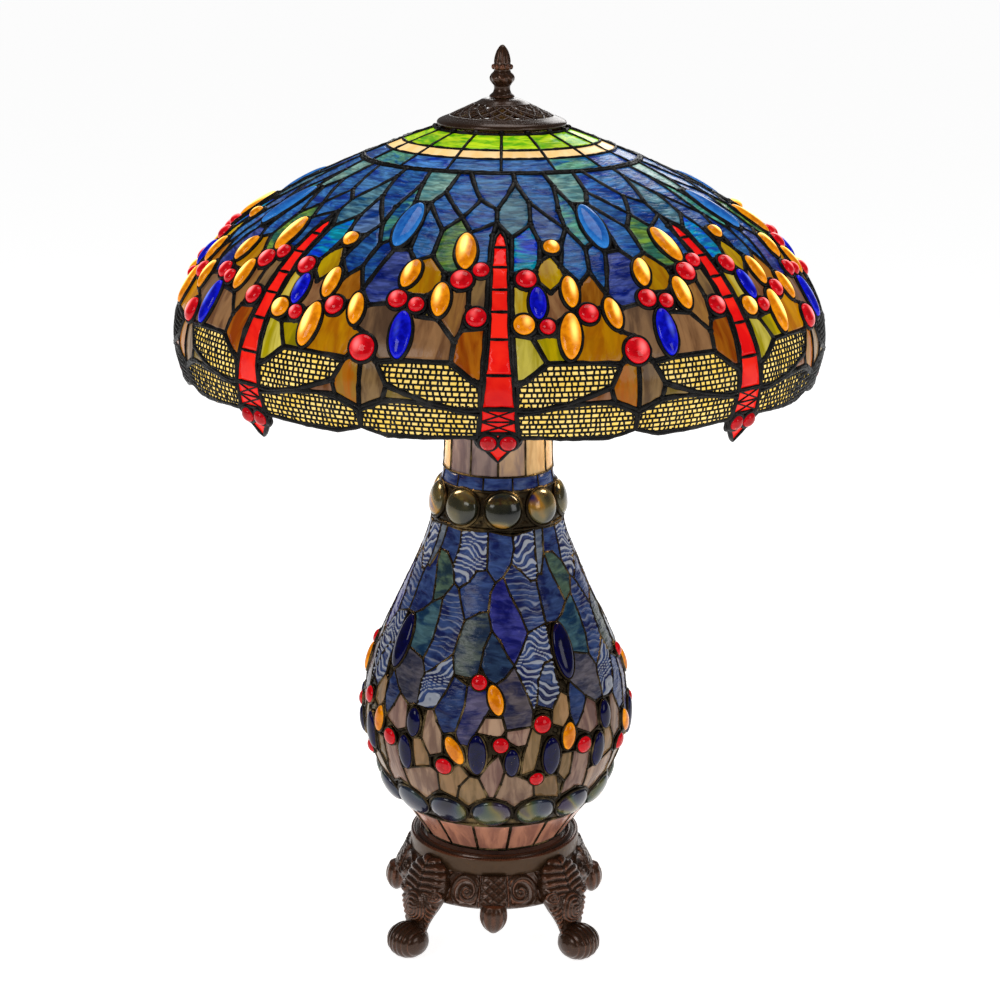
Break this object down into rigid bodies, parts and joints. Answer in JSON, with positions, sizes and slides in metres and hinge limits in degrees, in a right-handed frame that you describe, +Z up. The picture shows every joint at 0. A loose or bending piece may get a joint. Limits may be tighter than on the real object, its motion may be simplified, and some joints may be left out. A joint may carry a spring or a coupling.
{
  "type": "stained glass table lamp",
  "caption": "Table lamp with a domed leaded dragonfly shade, a lit bottle-shaped stained glass body and a cast four-legged foot.",
  "frame": {"origin": "centre of the foot on the table surface", "axes": "+Z up through the finial; a dragonfly and one gap between the ball feet face -Y"},
  "size_m": [0.4434, 0.4434, 0.635],
  "materials": {
    "cast_bronze": "dark bronze patina with red-brown rubbed edges",
    "black_plastic": "matte",
    "plate_steel": "grey paint on steel",
    "brass": "aged brass",
    "socket_shell": "matte",
    "bulb_glass": "frosted, lit",
    "neck_glass": "streaky cream and mauve opalescent",
    "ripple_glass": "rippled blue, glossy",
    "cabochon_glass": "iridescent cast",
    "brown_glass": "streaky brown and mauve opalescent",
    "pink_glass": "streaky pink opalescent",
    "cobalt_glass": "polished cast",
    "red_glass": "polished cast",
    "amber_glass": "polished cast",
    "body_solder": "brown patina with brass-gold highlights",
    "black_solder": "black patina solder",
    "green_glass": "streaky lime opalescent",
    "cream_glass": "cream opalescent",
    "sky_glass": "rippled blue",
    "earth_glass": "streaky brown, olive and mauve",
    "oval_blue_glass": "polished cast",
    "wing_glass": "pale yellow opalescent"
  },
  "bodies": {
    "base": {"base_casting": "cast_bronze", "foot_pendants": "cast_bronze", "leg_front_right": "cast_bronze", "leg_front_left": "cast_bronze", "leg_back_right": "cast_bronze", "leg_back_left": "cast_bronze", "cord_bushing": "black_plastic", "bottom_plate": "plate_steel", "plate_screws": "plate_steel", "stem_tube": "brass", "stem_nuts": "brass", "night_light_bracket": "brass", "night_light_socket": "socket_shell", "neck_panes": "neck_glass", "neck_band_panes": "ripple_glass", "upper_cabochon_ring": "cabochon_glass", "body_ripple_panes": "ripple_glass", "body_brown_panes": "brown_glass", "body_foot_panes": "pink_glass", "lower_cabochon_ring": "cabochon_glass", "body_cobalt_jewels": "cobalt_glass", "body_red_jewels": "red_glass", "body_amber_jewels": "amber_glass", "ripple_foil": "body_solder", "body_band_came": "body_solder", "vase_cap": "brass", "socket_cluster": "brass", "bulb_sockets": "brass", "riser_rod": "brass"},
    "seat": {"seat_washer": "brass"},
    "shade": {"shade_wheel": "brass", "crown_ring": "brass", "green_panes": "green_glass", "cream_panes": "cream_glass", "blue_band_panes": "sky_glass", "band_came": "black_solder", "sky_panes": "sky_glass", "sky_foil": "black_solder", "earth_panes": "earth_glass", "earth_foil": "black_solder", "shade_blue_ovals": "oval_blue_glass", "shade_amber_jewels": "amber_glass", "shade_red_jewels": "red_glass", "shade_cobalt_jewels": "cobalt_glass", "wing_panes": "wing_glass", "wing_foil": "black_solder", "tail_panes": "red_glass", "tail_foil": "black_solder", "dragonfly_eyes": "red_glass", "head_foil": "black_solder", "rim_wire": "black_solder", "heat_cap": "cast_bronze"},
    "finial": {"finial": "cast_bronze"},
    "bulb_left": {"bulb_left": "bulb_glass"},
    "bulb_right": {"bulb_right": "bulb_glass"},
    "night_bulb": {"night_light_bulb": "bulb_glass"},
    "chain_left": {"pull_chain_left": "brass"},
    "chain_right": {"pull_chain_right": "brass"}
  },
  "joints": [
    {"name": "shade_lift", "type": "slide", "parent": "base", "child": "seat", "axis": [0, 0, 1], "range_m": [0, 0.15]},
    {"name": "shade_turn", "type": "hinge", "parent": "seat", "child": "shade", "pos_m": [0, 0, 0.577], "axis": [0, 0, 1], "continuous": true},
    {"name": "finial_turn", "type": "hinge", "parent": "shade", "child": "finial", "pos_m": [0, 0, 0.61], "axis": [0, 0, 1], "continuous": true},
    {"name": "bulb_left_turn", "type": "hinge", "parent": "base", "child": "bulb_left", "pos_m": [-0.0483, 0, 0.4429], "axis": [-0.9659, 0, 0.2588], "continuous": true},
    {"name": "bulb_right_turn", "type": "hinge", "parent": "base", "child": "bulb_right", "pos_m": [0.0483, 0, 0.4429], "axis": [0.9659, 0, 0.2588], "continuous": true},
    {"name": "night_bulb_turn", "type": "hinge", "parent": "base", "child": "night_bulb", "pos_m": [0, -0.03, 0.2], "axis": [0, 0, 1], "continuous": true},
    {"name": "chain_left_pull", "type": "slide", "parent": "base", "child": "chain_left", "axis": [0, 0, -1], "range_m": [0, 0.01], "stiffness_N_per_m": 400, "springref_m": -0.001},
    {"name": "chain_right_pull", "type": "slide", "parent": "base", "child": "chain_right", "axis": [0, 0, -1], "range_m": [0, 0.01], "stiffness_N_per_m": 400, "springref_m": -0.001}
  ]
}
